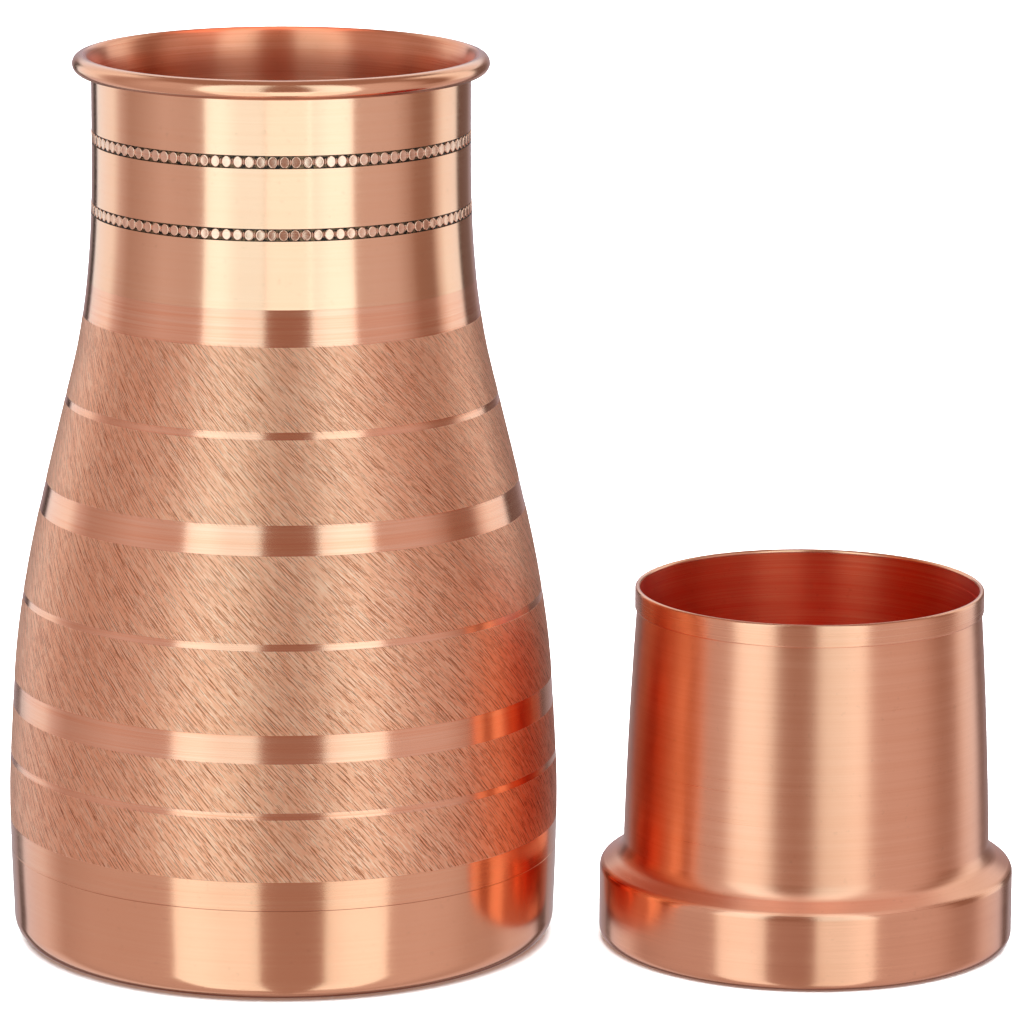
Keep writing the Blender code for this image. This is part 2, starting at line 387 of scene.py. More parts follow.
def cut_lines(t, twist, count, per_m, width, keep, seed):
    """Straight slanted strokes: one short groove in each cell of a twisted grid."""
    turn = t.math("DIVIDE", t.math("ARCTAN2", t.y, t.x), math.tau)
    up = t.math("SUBTRACT", t.z, 0.05)
    lead = t.math("ADD", t.z, t.math("MULTIPLY", t.math("MULTIPLY", up, up), 2.3))
    u = t.math("MULTIPLY", t.math("ADD", turn, t.math("MULTIPLY", lead, twist / math.tau)), float(count))
    i = t.math("FLOORED_MODULO", t.math("FLOOR", u), float(count))
    f = t.math("FRACT", u)
    off, _c = t.white(i, seed, 0.5)
    v = t.math("ADD", t.math("MULTIPLY", t.z, per_m), t.math("MULTIPLY", off, 9.0))
    j = t.math("FLOOR", v)
    g = t.math("FRACT", v)
    pick, col = t.white(i, j, seed + 0.5)
    rx, ry, rz = t.split(col)
    pos = t.math("ADD", 0.25, t.math("MULTIPLY", rx, 0.5))
    wide = t.math("MULTIPLY", width * count, t.math("ADD", 0.55, t.math("MULTIPLY", ry, 0.9)))
    line = t.math("SUBTRACT", 1.0, t.math("DIVIDE", t.math("ABSOLUTE", t.math("SUBTRACT", f, pos)), wide), None, True)
    ends = t.math("MULTIPLY", t.math("MULTIPLY", g, t.math("SUBTRACT", 1.0, g)), 8.0, None, True)
    force = t.math("MULTIPLY", t.math("ADD", 0.6, t.math("MULTIPLY", rz, 0.4)), t.math("LESS_THAN", pick, keep))
    return t.math("MULTIPLY", t.math("MULTIPLY", line, ends), force)


def scratches(t):
    """Hand-cut slanted scratches: masks of the grooves and of the lips beside them, used for bump and for colour; the
    colour darkens the grooves as painted shade and lightens the lips as painted highlights.
    """
    dark = cut_lines(t, 15.6, 360, 210.0, 0.00030, 0.36, 1.0)
    for args in ((14.4, 520, 340.0, 0.00022, 0.30, 2.0), (17.0, 460, 420.0, 0.00022, 0.28, 3.0),
                 (15.9, 900, 900.0, 0.00018, 0.30, 4.0)):
        dark = t.math("MAXIMUM", dark, cut_lines(t, *args))
    light = cut_lines(t, 15.3, 470, 280.0, 0.00025, 0.45, 5.0)
    light = t.math("MAXIMUM", light, cut_lines(t, 16.2, 860, 760.0, 0.00018, 0.45, 6.0))
    dark = t.math("MULTIPLY", dark, 1.6, None, True)
    light = t.math("MULTIPLY", light, 1.3, None, True)
    return dark, light


def hatched_material():
    t = Tree("copper_hatch")
    dark, light = scratches(t)
    brush = brushing(t, 3800.0)
    fine = t.noise(t.helix(17.5, 4200.0, 420.0), 1.0, 1.0, 0.5)
    grain = t.noise(t.scaled(5200.0, 5200.0, 5200.0), 1.0, 1.0, 0.5)
    patina = t.noise(t.scaled(18.0, 18.0, 26.0), 1.0, 3.0, 0.55, 0.3)
    col = t.mix(t.span(fine, 0.3, 0.7), (0.90, 0.37, 0.21), (0.99, 0.475, 0.30))
    col = t.mix(t.span(grain, 0.35, 0.65, 0.0, 0.25), col, (0.84, 0.36, 0.21))
    col = t.mix(t.span(patina, 0.38, 0.7, 0.0, 0.15), col, (0.80, 0.32, 0.19))
    # painted highlight: the lips of the strokes are coloured pale for the light they catch
    col = t.mix(t.math("MULTIPLY", light, 0.9), col, (1.0, 0.72, 0.54))
    # painted shade: the grooves of the strokes are coloured dark
    col = t.mix(dark, col, (0.36, 0.070, 0.018))
    t.put(t.bsdf.inputs["Base Color"], col)
    r = t.math("ADD", t.span(fine, 0.3, 0.7, 0.44, 0.48), t.math("MULTIPLY", dark, 0.1))
    nb = t.bump(t.math("SUBTRACT", light, dark), 0.000012, 0.5)
    return finish(t, r, t.bump(brush, 0.000008, 0.6, nb), 0.4)


def ring_material():
    """Plain turned rings: strong circular brushing, with scratch ends at their edges, coloured dark as painted shade
    in the grooves.
    """
    t = Tree("copper_ring")
    brush = brushing(t, 3000.0, 0.4)
    deep, _light = scratches(t)
    edges = []
    for top, bottom in PLAIN_RINGS + ((SATIN_TOP + 9.0, HATCH_TOP),):
        edges += [(bottom - 0.02, 1.0), (bottom + 0.16, 0.0), (top - 0.16, 0.0), (top + 0.02, 1.0)]
    edges.sort()
    near = t.ramp(t.math("MULTIPLY", t.z, 5.0), [(z / 200.0, v) for z, v in edges])
    ends = t.math("MULTIPLY", deep, near)
    patina = t.noise(t.scaled(20.0, 20.0, 26.0), 1.0, 3.0, 0.55, 0.3)
    col = t.mix(t.span(brush, 0.36, 0.64), (0.95, 0.385, 0.23), (0.99, 0.49, 0.33))
    col = t.mix(t.span(patina, 0.38, 0.7, 0.0, 0.2), col, (0.86, 0.38, 0.25))
    # painted shade: the scratch ends near the ring edges are coloured dark
    col = t.mix(t.math("MULTIPLY", ends, 0.7), col, (0.34, 0.13, 0.07))
    t.put(t.bsdf.inputs["Base Color"], col)
    r = t.span(brush, 0.3, 0.7, 0.20, 0.26)
    nb = t.bump(brush, 0.00003, 0.8)
    return finish(t, r, t.bump(t.math("SUBTRACT", 1.0, ends), 0.00001, 0.5, nb), 0.95)


def blackened_material():
    t = Tree("blackened_recess")
    n = t.noise(t.scaled(1600.0, 1600.0, 1600.0), 1.0, 3.0, 0.6)
    t.put(t.bsdf.inputs["Base Color"], t.mix(t.span(n, 0.42, 0.66), (0.010, 0.006, 0.004), (0.22, 0.12, 0.06)))
    return finish(t, t.span(n, 0.3, 0.7, 0.35, 0.6), t.bump(n, 0.00004, 0.6), 0.0, 0.85)


def solder_material():
    t = Tree("tin_solder_look")
    n = t.noise(t.scaled(420.0, 420.0, 420.0), 1.0, 4.0, 0.6, 0.6)
    t.put(t.bsdf.inputs["Base Color"], t.mix(t.span(n, 0.3, 0.7), (0.42, 0.41, 0.39), (0.70, 0.69, 0.66)))
    return finish(t, t.span(n, 0.3, 0.7, 0.32, 0.52), t.bump(n, 0.0002, 0.5), 0.0)


hatch_m = hatched_material()
ring_m = ring_material()
neck_m = brushed_material("copper_neck", (0.93, 0.445, 0.275), (0.95, 0.505, 0.335), (0.13, 0.18), 5600.0, 0.000004, 0.45,
                          patina_amount=0.12, tone=(0.2, 0.8))
foot_m = brushed_material("copper_base", COPPER, PALE, (0.12, 0.17), 5200.0, 0.000007, 0.5,
                          patina_amount=0.25, tone=(0.2, 0.8))
foot_turned_m = brushed_material("copper_base_turned", COPPER, PALE, (0.14, 0.21), 3000.0, 0.00002, 0.75, patina_amount=0.25)
# darker, redder copy of the copper for the jug's inside: painted shade and painted reflection of the hollow, with
# random patina mottling
jug_inner = brushed_material("copper_jug_inside_painted_shade", (0.80, 0.27, 0.145), (0.95, 0.42, 0.26), (0.26, 0.33), 3200.0, 0.00002, 0.85,
                             patina_col=(0.62, 0.17, 0.08), patina_amount=0.5)
rim_metal = brushed_material("copper_lip", COPPER, PALE, (0.15, 0.20), 4200.0, 0.000006, 0.3, tone=(0.2, 0.8))
# darker copy of the copper for the underside of the rolled rim: painted shade under the roll
lip_under_painted_shade_m = brushed_material("copper_lip_under_painted_shade", (0.46, 0.24, 0.17), (0.56, 0.31, 0.22), (0.34, 0.44), 4200.0, 0.000006, 0.3)
bead_metal = brushed_material("copper_beads", (0.90, 0.46, 0.31), (0.97, 0.60, 0.46), (0.16, 0.26), 2400.0, 0.00001, 0.0)
black = blackened_material()
cup_outer_m = brushed_material("copper_cup_outer", (0.88, 0.37, 0.225), (0.93, 0.425, 0.275), (0.27, 0.33), 4200.0, 0.00003, 0.72)
cup_hem_m = brushed_material("copper_cup_hem", (0.89, 0.385, 0.235), (0.94, 0.44, 0.285), (0.21, 0.28), 4200.0, 0.00002, 0.7)
cup_foot_m = brushed_material("copper_cup_foot", (0.84, 0.355, 0.22), (0.93, 0.43, 0.28), (0.17, 0.23), 2600.0, 0.000012, 0.6, patina_amount=0.4, tone=(0.25, 0.75))
# deep red copy of the copper for the cup's inside: painted reflection, standing for light bounced between the copper
# walls, with random mottling
cup_inner_m = brushed_material("copper_cup_inside_painted_reflection", (0.93, 0.09, 0.03), (1.0, 0.27, 0.13), (0.30, 0.38), 5200.0, 0.000008, 0.8,
                               patina_col=(0.86, 0.06, 0.02), patina_amount=0.5, tone=(0.25, 0.80))
plain_m = brushed_material("copper_plain_turned", (0.80, 0.37, 0.24), (0.88, 0.45, 0.31), (0.22, 0.34), 2600.0, 0.00004, 0.3)
wire_m = brushed_material("drawn_wire", (0.66, 0.30, 0.19), (0.78, 0.40, 0.27), (0.3, 0.45), 3000.0, 0.00002, 0.0)
solder_m = solder_material()

def film(wall):
    """A thin closed skin just inside a wall profile that runs upward."""
    front, rear = [], []
    for i, (r, z) in enumerate(wall):
        r0, z0 = wall[max(i - 1, 0)]
        r1, z1 = wall[min(i + 1, len(wall) - 1)]
        n = math.hypot(r1 - r0, z1 - z0)
        nr, nz = -(z1 - z0) / n, (r1 - r0) / n
        front.append((r + 0.035 * nr, z + 0.035 * nz, 0))
        rear.append((r + 0.005 * nr, z + 0.005 * nz, 0))
    return front + rear[::-1]


# ----------------------------------------------------------------------------
# jug
# ----------------------------------------------------------------------------
jug_place = (JX, JY, 0.0)
cup_place = (CX, CY, 0.0)
CURL_END = -112.0
STEP = 0.04
SLEEVE = 0.30
HATCH, RING, FOOT, IN, LIP = 0, 1, 2, 3, 4

# outer skin of the shell from the satin ring down to the seam: heights, offset
# from the turned radius, and the material of the strip below each point
edges = [(SATIN_TOP, RING), (HATCH_TOP, HATCH)]
for top, bottom in PLAIN_RINGS:
    edges += [(top, RING), (bottom, HATCH)]
edges.append((HATCH_END, FOOT))
marks = []
for i, (z, m) in enumerate(edges):
    off = 0.0 if m == HATCH else -STEP
    if i:
        prev = 0.0 if edges[i - 1][1] == HATCH else -STEP
        marks += [(z + 0.03, prev, m), (z - 0.03, off, m)]
    else:
        marks.append((z, off, m))
    end = edges[i + 1][0] if i + 1 < len(edges) else SEAM_Z + 0.2
    n = max(2, round((z - end) / 1.2))
    for j in range(1, n):
        marks.append((z - (z - end) * j / n, off, m))
THROAT = 1.30
outer = [(LIP_R - THROAT + 0.05, LIP_Z, IN), (NECK_R - 0.05, LIP_Z - 1.9, IN), (NECK_R - SLEEVE, LIP_Z - 4.5, IN)]
z = LIP_Z - 5.0
while z > SATIN_TOP + 1.0:
    outer.append((jug_radius(z) - SLEEVE, z, IN))
    z -= 2.0
outer.append((jug_radius(SATIN_TOP) - SLEEVE, SATIN_TOP, RING))
for z, off, m in marks:
    outer.append((jug_radius(z) + off, z, m))
outer.append((jug_radius(SEAM_Z) - STEP, SEAM_Z + 0.06, IN))
outer.append((jug_radius(SEAM_Z) - STEP - 0.03, SEAM_Z + 0.045, IN))
inner = [(jug_radius(SEAM_Z) - SHEET, SEAM_Z + 0.04, IN)]
z = SEAM_Z + 3.0
while z < LIP_Z - 9.5:
    inner.append((jug_radius(z) - SHEET, z, IN))
    z += 2.0
flare = []
roll = [(r, zz, IN) for r, zz in arc(LIP_R, LIP_Z, THROAT, LIP_B, 142.0, 92.0, 14)]
for i in range(24):
    q = i / 24.0
    low_r = NECK_R - SHEET
    flare.append((low_r + (roll[0][0] - low_r) * q ** 3.17, LIP_Z - 8.0 + (roll[0][1] - LIP_Z + 8.0) * q, IN))
roll += [(r, zz, LIP) for r, zz in arc(LIP_R, LIP_Z, LIP_A, LIP_B, 90.0, CURL_END, 40)]
back = [(r, zz, IN) for r, zz in arc(LIP_R, LIP_Z, LIP_A - SHEET, LIP_B - SHEET, CURL_END, 90.0, 20)]
back += [(r, zz, IN) for r, zz in arc(LIP_R, LIP_Z, THROAT - 0.10, LIP_B - SHEET, 90.0, 170.0, 10)][1:]
shell = lathe("jug_shell", outer + inner + flare + roll + back, jug_place,
              [hatch_m, ring_m, foot_turned_m, jug_inner, rim_metal], True, 320, 25.0)
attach(shell, "jug")
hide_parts("jug_body")

# polished neck skin with the two rolled recesses
NECK, BLACK = 0, 1
skin = [(NECK_R - 0.04, LIP_Z - 1.9, NECK), (NECK_R, LIP_Z - 1.9, NECK)]
stops = [(LIP_Z - 1.9, None)]
marks = []
for top, bottom, _n in BANDS:
    marks += [(top + 0.05, 0.0, BLACK), (top - 0.03, -BAND_DEPTH, BLACK),
              (bottom + 0.03, -BAND_DEPTH, BLACK), (bottom - 0.05, 0.0, NECK)]
spans = [(LIP_Z - 1.9, BANDS[0][0] + 0.05), (BANDS[0][1] - 0.05, BANDS[1][0] + 0.05), (BANDS[1][1] - 0.05, SATIN_TOP + 0.02)]
for hi, lo in spans:
    n = max(2, round((hi - lo) / 1.2))
    for j in range(1, n):
        marks.append((hi - (hi - lo) * j / n, 0.0, NECK))
marks.sort(key=lambda q: -q[0])
skin += [(jug_radius(z) + off, z, m) for z, off, m in marks]
skin.append((jug_radius(SATIN_TOP) - STEP * 0.2, SATIN_TOP + 0.02, NECK))
skin.append((jug_radius(SATIN_TOP) - SLEEVE + 0.02, SATIN_TOP + 0.02, NECK))
z = SATIN_TOP + 1.5
while z < LIP_Z - 5.0:
    skin.append((jug_radius(z) - SLEEVE + 0.02, z, NECK))
    z += 2.0
neck_skin = lathe("jug_neck_skin", skin, jug_place, [neck_m, black], True, 320, 25.0)
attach(neck_skin, "jug")

# satin lining of the mouth
wall = [(jug_radius(float(z)) - SHEET, float(z)) for z in np.arange(90.0, LIP_Z - 9.0, 2.0)]
wall += [(r, z) for r, z, _m in flare + roll[:14]]
lining = film(wall)
jug_lining = lathe("jug_lining", lining, jug_place, [jug_inner], True, 320, 40.0)
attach(jug_lining, "jug")

# polished outer half of the rolled rim, with a darker, rougher copy of the copper on its underside as painted shade
over = arc(LIP_R, LIP_Z, LIP_A + 0.03, LIP_B + 0.02, 58.0, CURL_END, 56)
under = arc(LIP_R, LIP_Z, LIP_A - 0.10, LIP_B - 0.10, CURL_END, 58.0, 36)
lip_pts = [(r, zz, 0 if zz > LIP_Z - 1.25 else 1) for r, zz in over + under]
lip_skin = lathe("jug_lip_skin", lip_pts, jug_place, [rim_metal, lip_under_painted_shade_m], True, 320, 40.0)
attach(lip_skin, "jug")

for i, (top, bottom, count) in enumerate(BANDS):
    row = bead_row("jug_beads_" + ("upper", "lower")[i], top, bottom, count, jug_place,
                   [bead_metal], 0.25 + 0.4 * i)
    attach(row, "jug")

OUT, IN, BLK = 0, 1, 2
pan_r = jug_radius(SEAM_Z)
collar_r = pan_r - SHEET - 0.3
pan = [(0.0, SHEET, IN), (BASE_FLAT_R - 14.0, SHEET, IN)]
pan += [(r, zz, IN) for r, zz in arc(BASE_FLAT_R, BASE_CORNER, BASE_CORNER - SHEET, BASE_CORNER - SHEET, -90, 0, 10)]
pan += [(pan_r - SHEET, 12.0, IN), (pan_r - SHEET, SEAM_Z - 1.3, IN), (collar_r - SHEET, SEAM_Z + 0.05, IN),
        (collar_r - SHEET, 24.2, IN), (collar_r, 24.2, IN), (collar_r, SEAM_Z - 0.10, IN),
        (pan_r - STEP - 0.05, SEAM_Z - 0.01, OUT), (pan_r - STEP, SEAM_Z - 0.05, OUT)]
for z in np.arange(18.9, 6.4, -1.2):
    pan.append((jug_radius(float(z)) - STEP, float(z), OUT))
pan += [(r, zz, OUT) for r, zz in arc(BASE_FLAT_R, BASE_CORNER, jug_radius(5.5) - STEP - BASE_FLAT_R, BASE_CORNER, 0, -90, 28)]
pan += [(52.0, 0.0, BLK), (51.6, 0.25, BLK), (50.4, 0.25, BLK), (50.0, 0.0, BLK), (30.0, 0.0, BLK), (0.0, 0.0, BLK)]
pan_ob = lathe("jug_pan", pan, jug_place, [foot_m, jug_inner, plain_m], False, 320, 25.0)
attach(pan_ob, "jug")
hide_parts("jug_base_pan")

# ----------------------------------------------------------------------------
# cup
# ----------------------------------------------------------------------------
wall_top = CUP_H - 0.75
co = [(CUP_RIM_R - 0.55, wall_top, OUT)]
fillet = 4.5
fillet_r = cup_radius(22.5)
fillet_end = fillet_r + fillet * (1.0 + math.cos(math.radians(235.0)))
fillet_z = 19.59 - (fillet_end - 40.63) * 0.6494 - fillet * math.sin(math.radians(235.0))
z = wall_top - 1.0
while z > fillet_z + 0.8:
    r = cup_radius(z)
    if z > HEM_Z - 0.3:
        r = min(r, CUP_RIM_R - 0.50)
    co.append((r, z, OUT))
    z -= 1.5
LIP = 3
co += [(r, zz, OUT) for r, zz in arc(fillet_r + fillet, fillet_z, fillet, fillet, 180, 235, 20)]
co += [(r, zz, OUT if zz > CUP_FOOT_Z + 1.25 else LIP) for r, zz in arc(CUP_FOOT_R - 2.3, CUP_FOOT_Z, 2.3, 2.3, 55, 0, 16)]
for z in (13.5, 11.5, 9.5, 7.5, 5.5, 3.6):
    co.append((CUP_FOOT_R, z, LIP))
co += [(r, zz, LIP) for r, zz in arc(CUP_FOOT_R - CUP_CORNER, CUP_CORNER, CUP_CORNER, CUP_CORNER, 0, -90, 14)]
co.append((CUP_PLATE_R + 0.12, 0.0, IN))
ci = [(CUP_PLATE_R + 0.12, CUP_SHEET, IN)]
ci += [(r, zz, IN) for r, zz in arc(CUP_FOOT_R - CUP_CORNER, CUP_CORNER, CUP_CORNER - CUP_SHEET, CUP_CORNER - CUP_SHEET, -80, 0, 8)]
ci += [(r, zz, IN) for r, zz in arc(CUP_FOOT_R - 2.3, CUP_FOOT_Z, 2.3 - CUP_SHEET, 2.3 - CUP_SHEET, 0, 55, 8)]
ci += [(r, zz, IN) for r, zz in arc(CUP_WAIST_R + 1.6, CUP_WAIST_Z, 1.6 + CUP_SHEET, 1.6 + CUP_SHEET, 235, 180, 8)]
z = CUP_WAIST_Z + 2.0
while z < wall_top - 1.0:
    ci.append((min(cup_radius(z) - CUP_SHEET, CUP_RIM_R - 0.5 - CUP_SHEET), z, IN))
    z += 2.0
ci.append((CUP_RIM_R - 0.55 - CUP_SHEET, wall_top, IN))
cup_shell = lathe("cup_shell", co + ci, cup_place, [cup_outer_m, cup_inner_m, black, cup_foot_m], True, 256, 28.0)
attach(cup_shell, "cup")
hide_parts("cup_body")
wall = [(r, z) for r, z, _m in ci if z > CUP_WAIST_Z - 0.5 and z < wall_top - 0.2]
lining = film(wall)
cup_lining = lathe("cup_lining", lining, cup_place, [cup_inner_m], True, 256, 40.0)
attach(cup_lining, "cup")

hem_in = CUP_RIM_R - 0.55 - CUP_SHEET - 0.02
mid, half = (CUP_RIM_R + hem_in) / 2, (CUP_RIM_R - hem_in) / 2
hem = [(r, zz, OUT) for r, zz in arc(mid, CUP_H - 0.62, half, 0.62, 90, 0, 10)]
hem += [(CUP_RIM_R, 76.8, OUT), (CUP_RIM_R, 75.2, OUT), (CUP_RIM_R, HEM_Z + 0.3, OUT)]
hem += [(r, zz, OUT) for r, zz in arc(CUP_RIM_R - 0.22, HEM_Z + 0.22, 0.22, 0.22, 0, -90, 5)][1:]
hem += [(CUP_RIM_R - 0.47, HEM_Z, IN), (CUP_RIM_R - 0.47, wall_top + 0.05, IN), (hem_in, wall_top + 0.05, OUT)]
hem += [(r, zz, OUT) for r, zz in arc(mid, CUP_H - 0.62, half, 0.62, 180, 90, 10)][:-1]
hem_ob = lathe("cup_hem", hem, cup_place, [cup_hem_m, cup_inner_m], True, 256, 35.0)
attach(hem_ob, "cup")
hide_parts("cup_rim_band")

plate = [(0.0, CUP_SHEET, IN), (20.0, CUP_SHEET, IN), (CUP_PLATE_R - 0.1, CUP_SHEET, IN), (CUP_PLATE_R, CUP_SHEET - 0.1, IN),
         (CUP_PLATE_R, 0.1, OUT), (CUP_PLATE_R - 0.1, 0.0, OUT), (38.0, 0.0, OUT), (37.7, 0.16, OUT),
         (36.9, 0.16, OUT), (36.6, 0.0, OUT), (18.0, 0.0, OUT), (0.0, 0.0, OUT)]
plate_ob = lathe("cup_plate", plate, cup_place, [plain_m, cup_inner_m], False, 192, 28.0)
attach(plate_ob, "cup")
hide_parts("cup_base_plate")

for n, m in (("jug_lip_wire", wire_m), ("jug_seam_solder", solder_m), ("cup_seam_solder", solder_m)):
    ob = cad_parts[n]
    if ob.data.materials:
        for i in range(len(ob.data.materials)):
            ob.data.materials[i] = m
    else:
        ob.data.materials.append(m)

# ----------------------------------------------------------------------------
# floor, light, camera
# ----------------------------------------------------------------------------
rings = [(7.0, 96), (3.0, 96), (1.2, 96), (0.4, 96), (0.0, 1)]
fv, ff = [], []
for r, n in rings:
    if n == 1:
        fv.append((0, 0, 0))
    else:
        fv += [(r * math.cos(math.tau * j / n), r * math.sin(math.tau * j / n), 0.0) for j in range(n)]
for q in range(3):
    for j in range(96):
        k = (j + 1) % 96
        ff.append((q * 96 + j, q * 96 + k, (q + 1) * 96 + k, (q + 1) * 96 + j))
for j in range(96):
    ff.append((3 * 96 + j, 3 * 96 + (j + 1) % 96, 4 * 96))
ft = Tree("pale_floor")
fn = ft.noise(ft.scaled(60.0, 60.0, 60.0), 1.0, 3.0, 0.5)
ft.put(ft.bsdf.inputs["Base Color"], ft.mix(ft.span(fn, 0.3, 0.7), (0.90, 0.90, 0.90), (0.93, 0.93, 0.93)))
ft.bsdf.inputs["Roughness"].default_value = 0.9
ft.bsdf.inputs["Specular IOR Level"].default_value = 0.1
floor = new_object("floor", fv, ff, (0.05, 0.0, -0.0002), [ft.mat])
floor.visible_glossy = False

world = bpy.data.worlds.new("studio")
scene.world = world
world.use_nodes = True
wt = world.node_tree
for n in list(wt.nodes):
    wt.nodes.remove(n)
w_out = wt.nodes.new("ShaderNodeOutputWorld")
w_bg = wt.nodes.new("ShaderNodeBackground")
wt.links.new(w_bg.outputs[0], w_out.inputs[0])


def wmath(op, a, b=None, c=None, clamp=False):
    n = wt.nodes.new("ShaderNodeMath")
    n.operation = op
    n.use_clamp = clamp
    for i, v in enumerate((a, b, c)):
        if v is None:
            continue
        if isinstance(v, (int, float)):
            n.inputs[i].default_value = v
        else:
            wt.links.new(v, n.inputs[i])
    return n.outputs[0]


def wramp(v, stops, mode="LINEAR"):
    if len(stops) > 30:
        k = len(stops) // 2
        past = wmath("GREATER_THAN", v, stops[k][0])
        return wmix(past, wramp(v, stops[:k + 1], mode), wramp(v, stops[k:], mode))
    n = wt.nodes.new("ShaderNodeValToRGB")
    cr = n.color_ramp
    cr.interpolation = mode
    while len(cr.elements) > 1:
        cr.elements.remove(cr.elements[-1])
    for i, (p, c) in enumerate(stops):
        e = cr.elements[0] if i == 0 else cr.elements.new(p)
        e.position = p
        e.color = (c, c, c, 1.0) if isinstance(c, (int, float)) else (*c, 1.0)
    wt.links.new(v, n.inputs[0])
    return n.outputs[0]


def wmix(f, a, b):
    n = wt.nodes.new("ShaderNodeMix")
    n.data_type = "RGBA"
    for s, v in ((n.inputs[0], f), (n.inputs[6], a), (n.inputs[7], b)):
        if isinstance(v, (int, float)):
            s.default_value = v
        elif isinstance(v, tuple):
            s.default_value = (*v, 1.0)
        else:
            wt.links.new(v, s)
    return n.outputs[2]


w_tc = wt.nodes.new("ShaderNodeTexCoord")
w_sep = wt.nodes.new("ShaderNodeSeparateXYZ")
wt.links.new(w_tc.outputs["Generated"], w_sep.inputs[0])
wx, wy, wz = w_sep.outputs
az = wmath("MULTIPLY", wmath("ARCTAN2", wx, wmath("MULTIPLY", wy, -1.0)), 180.0 / math.pi)
el = wmath("MULTIPLY", wmath("ARCSINE", wz), 180.0 / math.pi)
az01 = wmath("MULTIPLY_ADD", az, 1.0 / 360.0, 0.5)
el01 = wmath("MULTIPLY_ADD", el, 1.0 / 180.0, 0.5)


def A(deg):
    return (deg + 180.0) / 360.0


# soft boxes left and right of the lens, dimmer walls beyond them, a pale back
def grey(v, cool=1.0):
    """Level of a studio surface: dark parts of the room are brown, bright boxes cool."""
    r = np.interp(v, (0.0, 0.25, 0.65, 1.1, 1.6), (0.0, 0.345, 0.665, 0.98, 1.14))
    b = np.interp(v, (0.0, 0.25, 0.65, 1.1, 1.6), (0.0, 0.205, 0.655, 1.06, 1.75))
    return (float(r) / DEEP[0], float(v) / DEEP[1], float(b) * cool / DEEP[2])


GAP = grey(0.235)
GAP_LOW = grey(0.35)
high = wramp(az01, [
    (A(-180), grey(0.38, 1.12)), (A(-163), grey(0.28, 1.05)), (A(-156), grey(0.02)), (A(-150.5), grey(0.01)),
    (A(-148.5), grey(1.12)), (A(-122), grey(1.2)), (A(-114), grey(0.60)), (A(-104), grey(0.38)), (A(-92), grey(0.46)),
    (A(-75), grey(0.64)), (A(-58), grey(0.58)), (A(-36), grey(0.60)), (A(-26), GAP), (A(17), GAP), (A(28), grey(0.60)),
    (A(58), grey(0.66)), (A(72), grey(0.62)), (A(82), grey(0.42)),
    (A(88), grey(0.23)), (A(102), grey(0.21)), (A(109), grey(0.9)), (A(115), grey(1.3)), (A(131.5), grey(1.2)), (A(134), grey(0.03)),
    (A(138), grey(0.11)), (A(152), grey(0.14)), (A(162), grey(0.28, 1.05)), (A(180), grey(0.38, 1.12))])
low = wramp(az01, [
    (A(-180), grey(0.38)), (A(-154), grey(0.36)), (A(-152.5), grey(0.08)), (A(-146), grey(0.08)),
    (A(-143), grey(0.74)), (A(-122), grey(0.74)), (A(-108), grey(0.44)), (A(-90), grey(0.53)),
    (A(-60), grey(0.54)), (A(-36), grey(0.56)), (A(-26), grey(0.44)), (A(-11), grey(0.40)), (A(-3), GAP_LOW), (A(17), GAP_LOW), (A(28), grey(0.58)),
    (A(60), grey(0.66)), (A(75), grey(0.62)), (A(86), grey(0.50)),
    (A(100), grey(0.46)), (A(112), grey(0.64)), (A(135), grey(0.64)), (A(141), grey(0.10)),
    (A(149), grey(0.10)), (A(152), grey(0.36)), (A(180), grey(0.38))])
to_low = wramp(el01, [((-16.5 + 90) / 180, 1.0), ((-9.3 + 90) / 180, 0.0)])
side = wmix(to_low, high, low)
top_f = wramp(el01, [(0.0, 0.0), ((44 + 90) / 180, 0.0), ((54 + 90) / 180, 1.0)])
sky = wmix(top_f, side, grey(0.27))
# a pale wall behind, which only the crest of the rolled rim catches
back_az = wramp(az01, [(A(-180), 1.0), (A(-140), 1.0), (A(-125), 0.0), (A(125), 0.0), (A(140), 1.0)])
back_el = wramp(el01, [((11 + 90) / 180, 0.0), ((16 + 90) / 180, 1.0), ((38 + 90) / 180, 1.0), ((44 + 90) / 180, 0.0)])
sky = wmix(wmath("MULTIPLY", back_az, back_el), sky, grey(1.0))
# what the rounded bottom edges see under and behind themselves
under_az = wramp(az01, [(A(-180), 1.0), (A(-160), 1.0), (A(-148), 0.0), (A(148), 0.0), (A(160), 1.0)])
under_el = wramp(el01, [((-70 + 90) / 180, 0.0), ((-60 + 90) / 180, 1.0), ((-27 + 90) / 180, 1.0), ((-23 + 90) / 180, 0.0)])
full = wmix(wmath("MULTIPLY", under_az, under_el), sky, (0.16, 0.11, 0.10))
wt.links.new(full, w_bg.inputs["Color"])
w_bg.inputs["Strength"].default_value = 1.0


def area(name, loc, aim, size, power, glossy, diffuse=True, tint=(1.0, 1.0, 1.0)):
    d = bpy.data.lights.new(name, "AREA")
    d.shape = "RECTANGLE"
    d.size, d.size_y = size
    d.energy = power
    d.color = tint
    ob = bpy.data.objects.new(name, d)
    scene.collection.objects.link(ob)
    ob.location = loc
    v = Vector(aim) - Vector(loc)
    ob.rotation_euler = v.to_track_quat("-Z", "Y").to_euler()
    ob.visible_glossy = glossy
    ob.visible_diffuse = diffuse
    ob.visible_camera = False
    return ob


def panel(name, x0, x1, y, z0, z1, total, under):
    """An upright soft box that only reflections see, adding up to a level over the room behind."""
    w, h = x1 - x0, z1 - z0
    c = ((x0 + x1) / 2, y, (z0 + z1) / 2)
    add = [p - q for p, q in zip(grey(total), grey(under))]
    top = max(add)
    return area(name, c, (c[0], y + 1.0, c[2]), (w, h), top * 4.0 * w * h, True, False, tuple(v / top for v in add))


